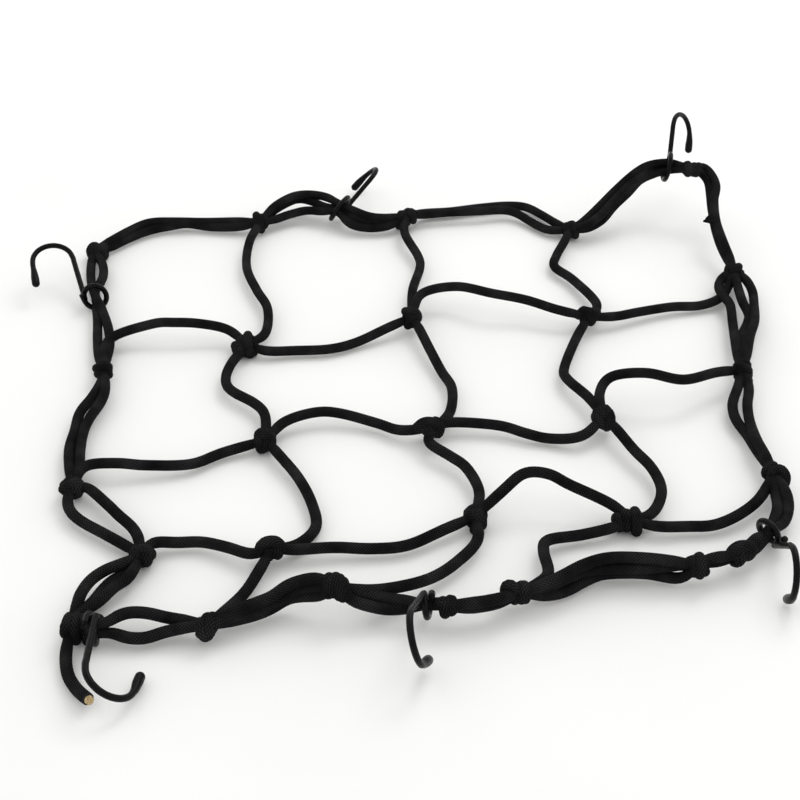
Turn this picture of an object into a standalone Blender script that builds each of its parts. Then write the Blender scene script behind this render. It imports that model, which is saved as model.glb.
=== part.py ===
"""Elastic cargo net with six wire hooks, as it lies loose on a flat surface.

The net is knotted from round elastic cord: three lines of mesh cord run each way inside an edge
of two or three cords that lie side by side. A hook is bent from one coated wire: an eye closed
round the edge cords, a shank, a bend and a thicker dipped tip. Lengths here are millimetres;
MM turns them into Blender's metres. +X runs along the wide side, +Y towards the far side, and
z = 0 is the surface on which the net lies.
"""

from math import cos, pi, radians, sin

import bmesh
import bpy
from mathutils import Matrix, Vector

MM = 0.001

# Cord and wire.
CORD_RADIUS = 2.6  # six-sided, so that its section is about that of a 5 mm round cord
CORD_SIDES = 6
CORE_RADIUS = 1.8
CORE_LENGTH = 1.2
CORE_SIDES = 16
WIRE_RADIUS = 1.45
WIRE_SIDES = 8
TIP_RADIUS = 2.2
GAP = 0.45  # clearance between two pieces that touch on the real net

# Knots: a turned body of two wraps with a groove between them.
KNOT_SIDES = 8
KNOT_PROFILE = ((-1.0, 0.50), (-0.66, 1.0), (-0.22, 1.0), (0.0, 0.82), (0.22, 1.0), (0.66, 1.0), (1.0, 0.50))
REST = cos(pi / KNOT_SIDES)  # a wrap's flat side lies this share of its radius below the axis

# Hooks.
HOOK_LENGTH = 42.0  # eye centre to the outside of the bend
BEND_RADIUS = 11.0
TIP_LENGTH = 13.0
STUB_LENGTH = 5.0
SHANK_PLACES = (7.0, 16.0)  # places along the straight of the shank, and
BEND_START = 3.0  # how far before the bend its last place lies
BEND_PLACES = 8
EYE_PLACES = 12
SWELL_LENGTH = 7.0  # the dipping thickens the wire to the tip's radius over this length
TIP_ROUNDING = ((1.2, 1.0), (0.4, 0.85), (0.0, 0.5))  # distance from the end, share of the tip's radius

# Cords in an eye: one whose line comes nearer than EYE_REACH to an eye's centre runs through it,
# is squeezed there, and has its full size again EYE_HOLD to each side.
EYE_REACH = 5.0
EYE_HOLD = 6.0
SQUEEZE = 0.85

# The middle of the whole in plan, in the tables' own coordinates.
MIDDLE = (6.7, 13.0, 0.0)

# How finely a route is read: a point is kept where the cord bends away from a straight run.
CORD_SLACK = 0.85
CORD_STRETCH = 20.0
WIRE_SLACK = 0.22
WIRE_STRETCH = 12.0
CORD_STEPS = 10  # points read between two places of a route
WIRE_STEPS = 4

# Finish of every mesh.
MERGE_DISTANCE = 0.01
SHARP_ANGLE = 35.0  # degrees; a fold between faces that is steeper than this stays sharp

# The knots: name, place of the middle in plan (x, y), height of the middle (0 = the knot rests
# on the surface), radius of the wraps, half the length along them, direction of that length.
KNOTS = (
    # name, x, y, height, radius, half length, direction in degrees
    ("K11", -75, 50, 0, 6.5, 5.6, 80),
    ("K12", 13, 63, 9, 6.3, 6.0, 60),
    ("K13", 107, 55, 8, 6.2, 6.0, 10),
    ("K21", -68, -35, 0, 6.5, 5.2, 35),
    ("K22", 13, -36, 8, 6.3, 7.0, 15),
    ("K23", 95, -38, 10, 6.2, 6.0, 60),
    ("K31", -68, -117, 8, 6.3, 6.6, 10),
    ("K32", 23, -102, 0, 6.5, 6.0, 70),
    ("K33", 92, -112, 0, 6.5, 7.0, -10),
    ("TL", -160, 159, 0, 6, 6, 50),
    ("T1", -64, 181, 7, 5.8, 6, 30),
    ("T2", 23, 178, 8, 5.7, 6.4, 0),
    ("T3", 117, 155, 0, 6.2, 6, 20),
    ("TR", 189, 166, 36, 5.2, 7.5, -30),
    ("R1", 197, 92, 9, 5.7, 6.4, -75),
    ("R2", 173, -6, 10, 5.8, 8.6, 80),
    ("R3", 164, -88, 8, 6.2, 7, -75),
    ("BR", 131, -143, 9, 5.2, 7, 40),
    ("B3r", 111, -149, 10, 6, 6.6, 10),
    ("B3", 34, -157, 9, 6, 7.4, 0),
    ("Bh", 3, -164, 11, 5.4, 4.8, 5),
    ("B2", -43, -153, 16, 6.8, 7.6, -20),
    ("B1", -96, -162, 8, 6.4, 6.4, 0),
    ("BL", -151, -157, 7, 5.6, 6.8, 75),
    ("L3", -124, -113, 0, 6.4, 6.4, -30),
    ("L2", -157, -62, 0, 6.4, 6.2, -40),
    ("L1", -148, 32, 7, 5.6, 5.6, 80),
)

# The 24 strands of the mesh: name, knot it leaves, knot it reaches, and the places it passes on
# its way. A place is (per cent of the way, mm to the left of the straight way, mm of height).
STRANDS = (
    ("down_1a", "T1", "K11", ((18, -5, 7), (39, -5, 6), (58, 2, 6), (73, 9, 6), (92, 9, 6))),
    ("down_1b", "K11", "K21", ((20, -10, 6), (36, -14, 6), (48, -12, 6), (63, -2, 6), (76, 2, 6))),
    ("down_1c", "K21", "K31", ((18, 7, 6), (36, 14, 5), (59, 19, 5), (79, 20, 4), (94, 11, 5))),
    ("down_1d", "K31", "B1", ((24, 1, 6), (49, 2, 5), (76, 2, 7))),
    ("down_2a", "T2", "K12", ((18, -2, 8), (38, 5, 6), (50, 6, 6), (75, 1, 8))),
    ("down_2b", "K12", "K22", ((12, 3, 8), (29, 6, 7), (48, 10, 5), (65, 13, 6), (87, 9, 7))),
    ("down_2c", "K22", "K32", ((15, -6, 8), (33, 1, 7), (49, 6, 7), (75, 7, 6))),
    ("down_2d", "K32", "B2", ((13, 12, 6), (33, 16, 6), (50, 16, 6), (68, 14, 9), (87, 9, 13))),
    ("down_3a", "T3", "K13", ((15, -5, 6), (30, -11, 5), (42, -13, 5), (56, -4, 5), (85, 6, 7))),
    ("down_3b", "K13", "K23", ((20, -8, 6), (50, -16, 6), (62, -15, 7), (80, -6, 8))),
    ("down_3c", "K23", "K33", ((15, 5, 9), (34, 10, 8), (52, 16, 7), (75, 17, 7), (94, 10, 6))),
    ("down_3d", "K33", "B3", ((15, -3, 6), (32, -10, 5), (51, -17, 6), (62, -12, 7), (77, 0, 8))),
    ("across_1a", "L1", "K11", ((11, 26, 8), (42, 27, 12), (56, 23, 13), (73, 19, 12), (91, 13, 9))),
    ("across_1b", "K11", "K12", ((10, -7, 5), (27, -9, 4), (47, -12, 4), (64, -9, 4), (84, -4, 7))),
    ("across_1c", "K12", "K13", ((6, 19, 12), (26, 23, 14), (46, 12, 16), (65, 10, 13), (82, 3, 11))),
    ("across_1d", "K13", "R1", ((14, -5, 7), (29, -6, 6), (50, -9, 5), (66, -14, 4), (81, -14, 6))),
    ("across_2a", "L2", "K21", ((9, 12, 7), (24, 6, 9), (37, 2, 7), (59, -3, 5), (77, 1, 4))),
    ("across_2b", "K21", "K22", ((12, 13, 7), (31, 18, 8), (46, 17, 7), (67, 10, 5), (80, 2, 6))),
    ("across_2c", "K22", "K23", ((11, 5, 7), (38, 2, 6), (53, -4, 5), (67, -8, 4), (85, -11, 7))),
    ("across_2d", "K23", "R2", ((7, 13, 13), (18, 17, 18), (35, 8, 21), (53, -2, 18), (80, 0, 14))),
    ("across_3a", "L3", "K31", ((7, 8, 6), (26, 9, 5), (45, 9, 5), (65, 4, 6), (84, -2, 7))),
    ("across_3b", "K31", "K32", ((10, -2, 7), (29, -4, 6), (46, -8, 5), (63, -10, 5), (83, -5, 6))),
    ("across_3c", "K32", "K33", ((17, 6, 16), (31, 13, 21), (47, 14, 20), (59, 11, 17), (86, 8, 9))),
    ("across_3d", "K33", "R3", ((10, -8, 6), (28, -13, 5), (43, -17, 5), (62, -16, 6), (80, -11, 7))),
)

# The edge cords, clockwise from the far left corner, with the same columns. Where a hook's eye
# holds the cords, they run close together.
EDGE = (
    ("far_1 outer", "TL", "T1", (
        (10.5, 5.6, 7), (24, 14.8, 7), (37, 20.8, 7), (51.5, 17.2, 7), (69, 12.6, 6), (87.5, 5.2, 7),
    )),
    ("far_1 inner", "TL", "T1", (
        (10, 4, 4), (23, 11.4, 4), (36, 16.6, 4), (48.5, 17.6, 4), (59, 17.4, 4), (71, 9.4, 4),
        (86.5, 2.2, 5),
    )),
    ("far_2 upper", "T1", "T2", (
        (8, 6.6, 12), (16.5, 15, 13), (25.5, 21.2, 13), (36.5, 21.4, 13), (46, 16.2, 13.5),
        (54.5, 6.6, 14), (71.5, -3.6, 11), (85, -5.6, 10),
    )),
    ("far_2 middle", "T1", "T2", (
        (8, 10.4, 8), (17, 20, 8), (26.5, 26, 8), (36.5, 19.6, 9), (44.5, 11.6, 9.5), (56, 7.6, 9.8),
        (62, -1.8, 9), (74, -5.6, 8), (86.5, -5, 8),
    )),
    ("far_2 lower", "T1", "T2", (
        (9, 2.2, 7), (20, 8.4, 7), (31.5, 10.8, 8), (42, 6.2, 9.5), (52.5, 4.2, 9.8), (61, -6.2, 7),
        (73, -8, 5), (86.5, -8, 6),
    )),
    ("far_3 outer", "T2", "T3", (
        (9.5, 11.4, 4.5), (24.5, 16.2, 4), (41.5, 23, 4), (58, 28.2, 4), (70.5, 28.2, 4), (81, 19.8, 4),
        (91, 8, 5),
    )),
    ("far_3 inner", "T2", "T3", (
        (10.5, 4.8, 7), (25.5, 9.4, 7), (43.5, 13.4, 7), (58.5, 18.6, 6), (67, 16.6, 5), (75, 10.2, 4),
        (84.5, 2, 4), (92.5, -0.6, 5),
    )),
    ("far_4 upper", "T3", "TR", (
        (11, -0.8, 11), (26, 4.6, 16), (42.5, 9.8, 23), (58.5, 13.2, 30), (71.5, 14.4, 34),
        (86.5, 10.6, 36.6),
    )),
    ("far_4 middle", "T3", "TR", (
        (9.5, -7.8, 12), (22.5, -4, 15), (35.5, 1, 20), (53.5, 8.6, 26), (71.5, 13.8, 31),
        (87.5, 11.8, 32.4),
    )),
    ("far_4 lower", "T3", "TR", (
        (11.5, -3.4, 7), (26, -1.4, 10), (35.5, -0.8, 18), (50, 4.2, 23), (66, 12, 27), (84.5, 8, 32.4),
    )),
    ("right_1 outer", "TR", "R1", (
        (-6.5, 9.6, 34), (4, 12.4, 32), (16, 12, 29), (29.5, 7, 26), (50.5, 2.6, 21), (70, 1.6, 16),
        (86.5, 1.2, 12),
    )),
    ("right_1 inner", "TR", "R1", (
        (-2, 7.4, 32), (5, 10, 29), (17.5, 8, 26), (32, 5.2, 22), (54.5, 1.6, 17), (72.5, 0.8, 12),
    )),
    ("right_2 loop", "R1", "R2", (
        (5.5, -5.6, 9), (15.5, -9, 8), (25.5, -6.8, 8), (34, -3.4, 8), (51.5, -2.8, 8), (71, -2.4, 9),
        (88.5, -1.8, 10),
    )),
    ("right_2 middle", "R1", "R2", (
        (18.5, 1.2, 10), (35, 3.2, 10), (43, 6.2, 8), (52, 4.8, 7), (64, 1, 6), (82.5, -0.8, 8),
    )),
    ("right_2 outer", "R1", "R2", (
        (7, 5.6, 9), (18, 9.2, 8), (33.5, 9.4, 8), (55.5, 8, 12), (72.5, 4.6, 13), (88, 2.4, 12),
    )),
    ("right_3 outer", "R2", "R3", (
        (17.5, 0.6, 9), (33.5, -2.4, 8), (51, -3.8, 8), (72, -4, 10), (85, -2.4, 10),
    )),
    ("right_3 inner", "R2", "R3", (
        (16.5, -4.6, 9), (31, -9.2, 7), (45.5, -9.4, 6), (60, -5.6, 5), (75.5, -3.2, 5),
    )),
    ("right_4 outer", "R3", "BR", (
        (21, 8, 10), (33.5, 11.6, 9), (48, 12.4, 7), (67.5, 9.6, 9.8), (89, 4.4, 7),
    )),
    ("right_4 inner", "R3", "BR", (
        (20, 3.6, 8), (35.5, 7.2, 8), (53, 8.2, 9), (66.5, 6.8, 6.9), (80.5, 4.8, 10.5),
        (90.5, 2.4, 10),
    )),
    ("near_1 upper", "BR", "B3r", ((43, 1.4, 12), (73, 0.2, 12))),
    ("near_1 lower", "BR", "B3r", ((36, -0.2, 8), (65.5, -1.4, 8))),
    ("near_2 upper", "B3", "B3r", (
        (13.5, -1, 13), (25, 2.6, 13), (38, 6.6, 13.5), (53, 8, 14), (72, 4.6, 14), (87.5, 1, 13),
    )),
    ("near_2 middle", "B3", "B3r", (
        (14, 1.2, 9), (26.5, 4.2, 9), (40.5, 7.6, 9), (56, 6.2, 9), (72, 3.8, 9), (89, 2.8, 9),
    )),
    ("near_2 lower", "B3", "B3r", (
        (14, 0.4, 5), (26, 2, 4), (39.5, 6.6, 4), (52, 9.2, 4), (73.5, 6, 4), (87.5, 0.6, 4),
        (93.5, -1.4, 6),
    )),
    ("near_3 upper", "Bh", "B3", ((14.5, -2.6, 13), (37.5, -4, 13), (64.5, -4.6, 13))),
    ("near_3 lower", "Bh", "B3", ((18, 0, 8), (41, -1.6, 8), (68.5, -1.8, 8))),
    ("near_4 upper", "B2", "Bh", (
        (14.5, 1, 14), (28.5, 1.6, 12), (46, 1.4, 10.5), (66, 0.2, 11.5), (81.5, -1.6, 11.5),
    )),
    ("near_4 lower", "B2", "Bh", (
        (15.5, -2.8, 12), (29.5, -3.2, 10), (46.5, -2.2, 8), (66, -0.6, 8.4), (81.5, 1.6, 9.3),
    )),
    ("near_5 upper", "B1", "B2", (
        (18.5, 1.2, 11), (38, 3.2, 12), (52, 4.2, 13), (65.5, 7, 15), (79.5, 6.4, 17), (91, 4.2, 18),
    )),
    ("near_5 middle", "B1", "B2", (
        (18.5, 2, 8), (38, 3, 8), (53, 4.4, 9), (68, 6.8, 11), (80.5, 5.8, 13), (90.5, 3.6, 14),
    )),
    ("near_5 lower", "B1", "B2", (
        (18.5, 3, 5), (37.5, 3.8, 5), (51, 5.8, 5), (66, 7.8, 7), (78, 5.2, 9), (90, 2.8, 10),
    )),
    ("near_6 upper", "BL", "B1", (
        (17.5, -2, 11), (27, -1.2, 11), (33, 3.4, 10), (41.5, 7, 9), (54.5, 7.6, 8), (69.5, 4.8, 8),
        (85.5, 3.6, 7),
    )),
    ("near_6 lower", "BL", "B1", (
        (17.5, -2.4, 6.6), (30.5, -1.8, 6), (41.5, -3.6, 5), (55, -4, 5), (68, -1.8, 6),
        (83.5, -1.4, 8),
    )),
    ("left_4 outer", "L3", "BL", ((18.5, -2.6, 8), (32, -7, 8), (47.5, -9, 8), (64, -8, 8), (79, -4.4, 9))),
    ("left_4 inner", "L3", "BL", (
        (21, -1, 4), (33.5, -4, 3.5), (48.5, -4.2, 3.5), (63.5, -3.2, 4), (79, -3.4, 5),
    )),
    ("left_4 third", "L3", "BL", ((31, 3.6, 7), (43.5, 1.6, 7), (59, 2, 8), (73, 1.8, 9), (86, 0, 9.5))),
    ("left_3 outer", "L2", "L3", (
        (10, -6, 6), (22, -8.8, 5), (38.5, -8.4, 5), (61.5, -4.8, 5), (81.5, -1.8, 5),
    )),
    ("left_3 inner", "L2", "L3", ((7, 5, 6), (32, 6, 6), (49, 6, 6), (75, 6, 6))),
    ("left_2 outer", "L1", "L2", (
        (10.5, 0.2, 6), (24.5, -2.4, 6), (38, -6.2, 6), (53, -6.2, 6), (68.5, -6.4, 6), (83, -4.2, 6),
    )),
    ("left_2 inner", "L1", "L2", (
        (17, 3.4, 7), (29.5, 3, 7), (43, -0.2, 7), (54, -2, 6), (70, -1.2, 6), (85, 0.6, 6),
    )),
    ("left_1 outer", "TL", "L1", (
        (11, -2.2, 5), (25, -3, 5), (43, -1.4, 5.8), (59.5, -1, 6), (76, -1.8, 6), (87.5, -1.8, 6),
    )),
    ("left_1 inner", "TL", "L1", (
        (13, 4, 6), (24.5, 3.8, 6), (43, -0.8, 9.8), (52.5, 1.4, 8), (69, 4.2, 8), (81, 4.4, 7),
        (90, 2.2, 6),
    )),
)

# The free end of one edge cord at the near left corner: its knot, and its way to its cut face.
TAIL_KNOT = "BL"
TAIL = ((-152, -163, 5.6), (-152.5, -171, 4), (-151, -180, 3.4), (-147, -188.5, 3.8), (-142, -196, 5.6))

# The hooks: name, eye centre, direction of the cords in the eye, direction of the shank
# (azimuth, elevation), turn of the bend about the shank, length and outward lean of the leg
# before the tip's end, side of the eye on which the shank leaves it, and the eye's two radii:
# along the shank and across it.
HOOKS = (
    # name, eye x y z, cords x y z, azimuth, elevation, turn, leg, lean, side, eye radii
    ("hook_top_left", (-156, 104, 7.8), (0.12, -0.99, 0.03), 105, 23, -1, 16, 5, 1, (6.4, 5.9)),
    ("hook_top_middle", (-16.5, 185.5, 11.2), (0.8, -0.4, -0.45), 42, 27, -38, 6, 11, -1, (8, 7.9)),
    ("hook_top_right", (177.5, 174.5, 33.8), (0.98, -0.16, -0.09), 73, 42, -119, 9, 2, -1, (7.6, 7.4)),
    ("hook_bottom_right", (149, -129, 8.3), (-0.84, -0.49, -0.22), -97, 40, -91, 7, 4, -1, (6.9, 5.8)),
    ("hook_bottom_middle", (-5.5, -162, 10.4), (0.98, -0.15, 0.02), -108, 29, -71, 12, 5, -1, (6.4, 4.8)),
    ("hook_bottom_left", (-141.5, -160, 8.8), (0.99, -0.1, 0.03), -94, 4, -35, 11, 9, -1, (4.9, 6.7)),
)

# Colour, metallic value and roughness of each material.
LOOKS = {
    "braided_cord": ((0.013, 0.013, 0.014), 0.0, 0.72),
    "hook_coating": ((0.010, 0.010, 0.011), 0.0, 0.38),
    "rubber_core": ((0.74, 0.60, 0.34), 0.0, 0.60),
}


def clear_scene():
    for obj in list(bpy.data.objects):
        bpy.data.objects.remove(obj, do_unlink=True)


def new_collection(name):
    collection = bpy.data.collections.new(name)
    bpy.context.scene.collection.children.link(collection)
    return collection


def make_material(name):
    colour, metallic, roughness = LOOKS[name]
    material = bpy.data.materials.new(name)
    material.use_nodes = True
    shader = material.node_tree.nodes["Principled BSDF"]
    shader.inputs["Base Color"].default_value = (*colour, 1.0)
    shader.inputs["Metallic"].default_value = metallic
    shader.inputs["Roughness"].default_value = roughness
    material.diffuse_color = (*colour, 1.0)
    return material


def smooth_route(places, steps=CORD_STEPS):
    """A smooth curve through the places, read at even steps between each two."""
    places = [Vector(p) for p in places]
    ring = [2 * places[0] - places[1], *places, 2 * places[-1] - places[-2]]
    route = []
    for a, b, c, d in zip(ring, ring[1:], ring[2:], ring[3:]):
        for step in range(steps):
            t = step / steps
            route.append(
                (2 * b + (c - a) * t + (2 * a - 5 * b + 4 * c - d) * t**2 + (3 * b - a - 3 * c + d) * t**3) / 2
            )
    return [*route, places[-1]]


def keep_bends(route, slack, stretch):
    """The indices of the points that hold the route's shape within the slack, none too far apart."""
    first, last = route[0], route[-1]
    way = last - first
    off = [(p - first - way * ((p - first).dot(way) / way.length_squared)).length for p in route]
    middle = max(range(len(route)), key=off.__getitem__)
    if off[middle] <= slack:
        if way.length <= stretch or len(route) < 3:
            return [0, len(route) - 1]
        middle = len(route) // 2
    before = keep_bends(route[: middle + 1], slack, stretch)
    after = keep_bends(route[middle:], slack, stretch)
    return before + [middle + i for i in after[1:]]


def evaluated_mesh(obj, name):
    """A mesh object made from another object as it evaluates, which it then replaces."""
    graph = bpy.context.evaluated_depsgraph_get()
    mesh = bpy.data.meshes.new_from_object(obj.evaluated_get(graph))
    shell = bmesh.new()
    shell.from_mesh(mesh)
    bmesh.ops.remove_doubles(shell, verts=shell.verts, dist=MERGE_DISTANCE * MM)
    bmesh.ops.recalc_face_normals(shell, faces=shell.faces)
    shell.to_mesh(mesh)
    shell.free()
    copy = bpy.data.objects.new(name, mesh)
    copy.matrix_world = obj.matrix_world.copy()
    bpy.data.objects.remove(obj, do_unlink=True)
    return copy


def tube(name, route, radius, sides, collection, swell=None):
    """A round bar along a route; swell scales its radius at each point."""
    curve = bpy.data.curves.new(name, "CURVE")
    curve.dimensions = "3D"
    curve.bevel_depth = radius * MM
    curve.bevel_resolution = (sides - 4) // 2
    curve.use_fill_caps = True
    line = curve.splines.new("POLY")
    line.points.add(len(route) - 1)
    for i, place in enumerate(route):
        line.points[i].co = (*(place * MM), 1.0)
        line.points[i].radius = swell[i] if swell else 1.0
    guide = bpy.data.objects.new(name + " line", curve)
    collection.objects.link(guide)
    bpy.context.view_layer.update()
    bar = evaluated_mesh(guide, name)
    collection.objects.link(bar)
    return bar


def knot_centres():
    return {
        name: Vector((x, y, height or radius * REST)) for name, x, y, height, radius, _, _ in KNOTS
    }


def strand_route(start, end, places):
    """A strand's route from knot to knot through its places, given along and beside the way."""
    way = (end - start).to_2d()
    left = Vector((-way.y, way.x)).normalized()
    points = [start]
    for along, beside, height in places:
        plan = start.to_2d() + way * (along / 100) + left * beside
        points.append(Vector((plan.x, plan.y, height)))
    return smooth_route([*points, end])


def make_strand(name, route, collection):
    """A strand keeps its bends, and is squeezed where a hook's eye holds it."""
    kept = set(keep_bends(route, CORD_SLACK, CORD_STRETCH))
    squeezed = set()
    for _, eye, *_ in HOOKS:
        distance = [(place - Vector(eye)).length for place in route]
        nearest = distance.index(min(distance))
        if distance[nearest] < EYE_REACH:
            held = [i for i, place in enumerate(route) if (place - route[nearest]).length < EYE_HOLD]
            kept = kept.difference(held) | {held[0], nearest, held[-1]}
            squeezed.add(nearest)
    swell = [SQUEEZE if i in squeezed else 1.0 for i in sorted(kept)]
    return tube(name, [route[i] for i in sorted(kept)], CORD_RADIUS, CORD_SIDES, collection, swell)


def make_knot(name, centre, radius, half_length, direction, collection):
    """Two wraps of cord as a turned body, its axis level and a flat side of each wrap down."""
    profile = bpy.data.meshes.new(name)
    rows = [(radius * r * MM, 0.0, half_length * z * MM) for z, r in reversed(KNOT_PROFILE)]
    rows = [(0.0, 0.0, rows[0][2]), *rows, (0.0, 0.0, rows[-1][2])]
    profile.from_pydata(rows, [(i, i + 1) for i in range(len(rows) - 1)], [])
    body = bpy.data.objects.new(name, profile)
    collection.objects.link(body)
    turn = body.modifiers.new("turn", "SCREW")
    turn.steps = turn.render_steps = KNOT_SIDES
    turn.use_merge_vertices = True
    turn.merge_threshold = MERGE_DISTANCE * MM
    lay = Matrix.Rotation(radians(direction), 4, "Z") @ Matrix.Rotation(pi / 2, 4, "Y")
    body.matrix_world = (
        Matrix.Translation(centre * MM) @ lay @ Matrix.Rotation(pi / KNOT_SIDES, 4, "Z")
    )
    bpy.context.view_layer.update()
    knot = evaluated_mesh(body, "knot " + name)
    collection.objects.link(knot)
    return knot


def make_net(material, collection, pieces):
    """All strands and knots in one body, as the knots bind them."""
    centres = knot_centres()
    for name, start, end, places in STRANDS + EDGE:
        make_strand(name, strand_route(centres[start], centres[end], places), pieces)
    make_strand("tail", smooth_route([centres[TAIL_KNOT], *TAIL]), pieces)
    for name, _, _, _, radius, half_length, direction in KNOTS:
        make_knot(name, centres[name], radius, half_length, direction, pieces)
    first = pieces.objects[0]
    pieces.objects.unlink(first)
    collection.objects.link(first)
    union = first.modifiers.new("bind", "BOOLEAN")
    union.operation = "UNION"
    union.operand_type = "COLLECTION"
    union.collection = pieces
    union.use_self = True
    bpy.context.view_layer.update()
    net = evaluated_mesh(first, "net")
    for piece in list(pieces.objects):
        bpy.data.objects.remove(piece, do_unlink=True)
    net.data.materials.clear()
    net.data.materials.append(material)
    collection.objects.link(net)
    return net


def make_core(material, collection):
    """The pale core of the cord, standing just proud of the free end's cut face."""
    axis = (Vector(TAIL[-1]) - Vector(TAIL[-2])).normalized()
    centre = Vector(TAIL[-1]) + axis * (GAP + CORE_LENGTH / 2)
    mesh = bpy.data.meshes.new("tail_core")
    disc = bmesh.new()
    bmesh.ops.create_cone(
        disc, cap_ends=True, segments=CORE_SIDES, radius1=CORE_RADIUS * MM, radius2=CORE_RADIUS * MM,
        depth=CORE_LENGTH * MM,
    )
    disc.to_mesh(mesh)
    disc.free()
    mesh.materials.append(material)
    core = bpy.data.objects.new("tail_core", mesh)
    core.matrix_world = Matrix.Translation(centre * MM) @ axis.to_track_quat("Z", "Y").to_matrix().to_4x4()
    collection.objects.link(core)
    return core


def hook_route(eye, cords, azimuth, elevation, turn, leg, lean, side, radii):
    """The wire's route from the stub round the eye, along the shank and round the bend to the tip."""
    a, e = radians(azimuth), radians(elevation)
    shank = Vector((cos(e) * cos(a), cos(e) * sin(a), sin(e)))
    level = Vector((-sin(a), cos(a), 0))
    opening = level * cos(radians(turn)) + shank.cross(level) * sin(radians(turn))
    eye, cords = Vector(eye), Vector(cords).normalized()
    up = (shank - cords * shank.dot(cords)).normalized()  # the shank's way within the eye's plane
    across = cords.cross(up) * side
    pitch = WIRE_RADIUS + GAP / 2  # half the step between stub and shank along the cords
    if shank.dot(cords) < 0:
        pitch = -pitch
    points = []
    for length in (STUB_LENGTH, STUB_LENGTH / 2):
        points.append(eye + across * radii[1] + up * length - cords * pitch)
    for i in range(EYE_PLACES + 1):
        angle = 2 * pi * i / EYE_PLACES
        points.append(
            eye + across * radii[1] * cos(angle) - up * radii[0] * sin(angle)
            + cords * pitch * (2 * i / EYE_PLACES - 1)
        )
    start = eye + across * radii[1] + cords * pitch
    lean = radians(lean)
    centre = HOOK_LENGTH - WIRE_RADIUS - BEND_RADIUS
    for length in (*SHANK_PLACES, centre - BEND_START):
        points.append(start + shank * length)
    for i in range(BEND_PLACES):
        angle = -pi / 2 + (pi - lean) * i / (BEND_PLACES - 1)
        points.append(
            start + shank * (centre + BEND_RADIUS * cos(angle)) + opening * BEND_RADIUS * (1 + sin(angle))
        )
    back = opening * sin(lean) - shank * cos(lean)
    end = points[-1]
    for share in (1 / 3, 2 / 3, 1):
        points.append(end + back * leg * share)
    return smooth_route(points, WIRE_STEPS)


def make_hook(name, route, material, collection):
    """One wire with its end dipped thicker: it swells over the tip's length and ends rounded."""
    kept = [route[i] for i in keep_bends(route, WIRE_SLACK, WIRE_STRETCH)]
    end = kept.pop()
    axis = (end - kept[-1]).normalized()
    kept += [end - axis * distance for distance, _ in TIP_ROUNDING]
    left = [0.0] * len(kept)
    for i in range(len(kept) - 2, -1, -1):
        left[i] = left[i + 1] + (kept[i + 1] - kept[i]).length
    full = TIP_RADIUS / WIRE_RADIUS
    swell = [1 + (full - 1) * min(1.0, max(0.0, (TIP_LENGTH - d) / SWELL_LENGTH)) for d in left]
    swell[-len(TIP_ROUNDING):] = [full * share for _, share in TIP_ROUNDING]
    hook = tube(name, kept, WIRE_RADIUS, WIRE_SIDES, collection, swell)
    hook.data.materials.clear()
    hook.data.materials.append(material)
    return hook


def set_origin(collection):
    """Moves everything so that the origin lies under the middle of the whole."""
    for obj in collection.objects:
        obj.location -= Vector(MIDDLE) * MM


def build():
    clear_scene()
    parts = new_collection("cargo_net")
    pieces = new_collection("strands and knots")
    cord, coating, core = (make_material(name) for name in LOOKS)
    make_net(cord, parts, pieces)
    make_core(core, parts)
    for name, *shape in HOOKS:
        make_hook(name, hook_route(*shape), coating, parts)
    set_origin(parts)
    for obj in parts.objects:
        obj.data.shade_smooth()
        obj.data.set_sharp_from_angle(angle=radians(SHARP_ANGLE))


build()
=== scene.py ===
# %% [markdown]
# # A cargo net of elastic cord
#
# The object is a small luggage net: black elastic cord, knotted into a mesh of open cells inside
# an edge of two or three cords, with six wire hooks caught round the edge. It lies loose on a
# table, so every strand bends its own way, and one corner and some stretches stand a little up.
#
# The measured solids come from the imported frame. They are plain: six-sided cords, turned knots.
# Here the net and the hooks are replaced by finer pieces on the same lines: round braided cord,
# knots laid up from real turns of cord, smooth dipped hooks. The core at the cut end keeps its
# solid and gets a material. Lengths in the tables are millimetres, and MM turns them into
# Blender's metres.

# %% Load the frame
from math import cos, pi, radians, sin

import bpy
import numpy as np
from mathutils import Matrix, Vector


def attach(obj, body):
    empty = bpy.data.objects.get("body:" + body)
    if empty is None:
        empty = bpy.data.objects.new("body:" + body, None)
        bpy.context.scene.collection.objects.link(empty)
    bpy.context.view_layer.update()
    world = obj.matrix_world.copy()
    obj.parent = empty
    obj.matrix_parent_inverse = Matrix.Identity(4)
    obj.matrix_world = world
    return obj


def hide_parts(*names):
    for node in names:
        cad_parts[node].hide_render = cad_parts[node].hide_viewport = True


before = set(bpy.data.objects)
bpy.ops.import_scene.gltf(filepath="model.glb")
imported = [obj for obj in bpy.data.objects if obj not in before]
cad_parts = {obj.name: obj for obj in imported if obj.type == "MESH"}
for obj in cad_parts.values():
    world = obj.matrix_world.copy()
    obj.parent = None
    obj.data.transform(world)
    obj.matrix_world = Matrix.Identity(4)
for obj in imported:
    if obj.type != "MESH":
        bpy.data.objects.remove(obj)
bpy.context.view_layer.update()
print("nodes:", ", ".join(sorted(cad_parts)))

# %% [markdown]
# ## The cord
#
# The cord is the common 5 mm elastic cord: a bundle of rubber threads in a braided sheath, which
# lies loose and a little swollen, 5.1 mm across. It is squeezed where a knot holds it. Its width in
# the photograph, about ten pixels in the middle, sets the scale of everything else.

# %% Units and the cord
MM = 0.001
MIDDLE = Vector((6.7, 13.0, 0.0))   # the tables' point that lies over the frame's origin
CORD_RADIUS = 2.55
KNOT_CORD_RADIUS = 2.35    # the same cord, squeezed in a tight knot
print("cord", 2 * CORD_RADIUS, "mm, in a knot", 2 * KNOT_CORD_RADIUS, "mm")

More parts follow.
